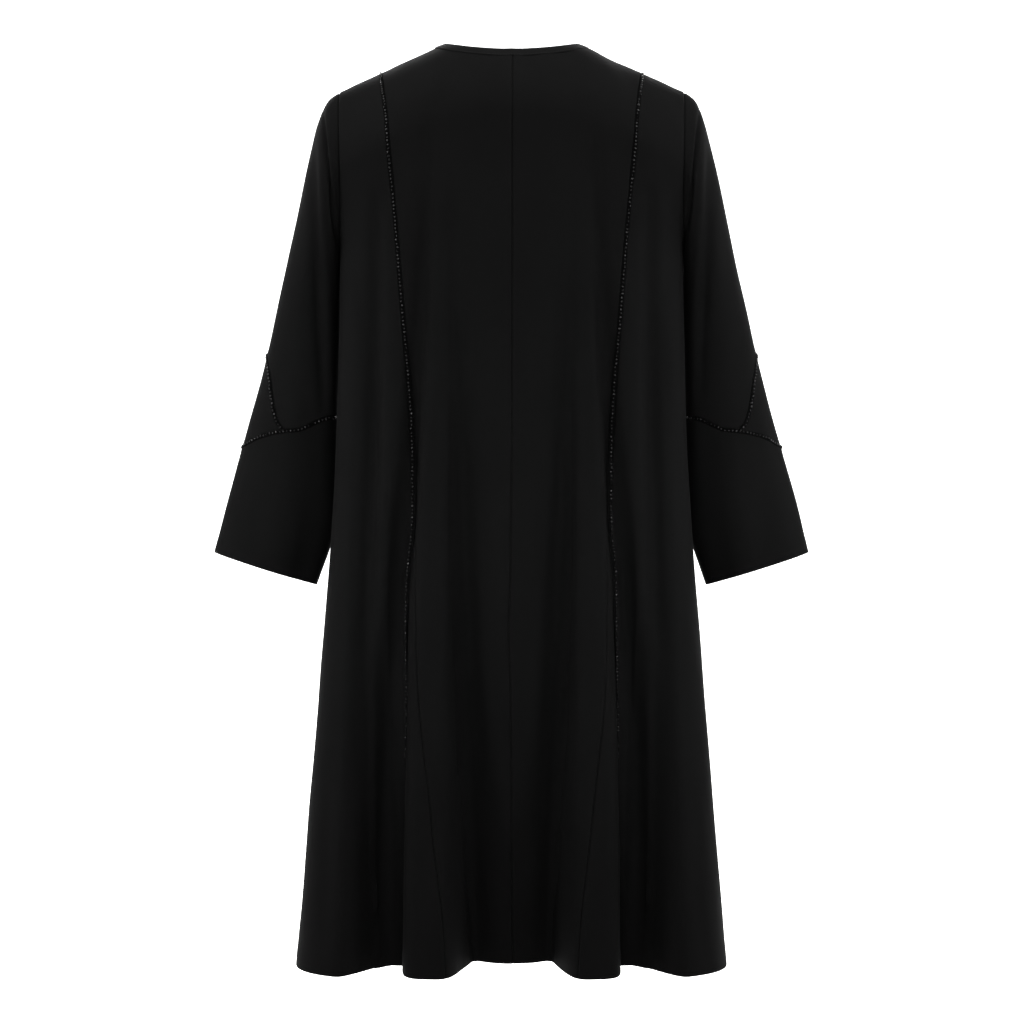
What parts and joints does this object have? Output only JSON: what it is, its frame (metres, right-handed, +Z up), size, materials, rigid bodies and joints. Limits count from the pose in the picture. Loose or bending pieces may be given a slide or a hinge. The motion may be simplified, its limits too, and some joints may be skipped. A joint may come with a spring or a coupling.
{
  "type": "abaya cloak",
  "caption": "Long open-fronted black abaya cloak in its worn shape, with princess seams and hem godets at the back and sleeves with flared cuffs.",
  "frame": {"origin": "between the two points where the neck edge meets the shoulder seams, where the wearer's shoulders or a hanger carry the cloak", "axes": "+Z up, the front of the cloak faces -Y, the wearer's left is +X"},
  "size_m": [0.7732, 0.2994, 1.1708],
  "materials": {
    "crepe": "matt black crepe with a fine pebbled weave",
    "neck_binding": "matt black crepe binding, pressed flat and edge-stitched"
  },
  "bodies": {
    "root": {"back_centre_left": "crepe", "back_centre_right": "crepe", "back_side_left": "crepe", "back_side_right": "crepe", "godet_left": "crepe", "godet_right": "crepe", "front_left": "crepe", "front_right": "crepe", "sleeve_upper_left": "crepe", "sleeve_upper_right": "crepe", "sleeve_lower_left": "crepe", "sleeve_lower_right": "crepe", "sleeve_wedge_left": "crepe", "sleeve_wedge_right": "crepe", "neck_band": "neck_binding"}
  },
  "joints": []
}
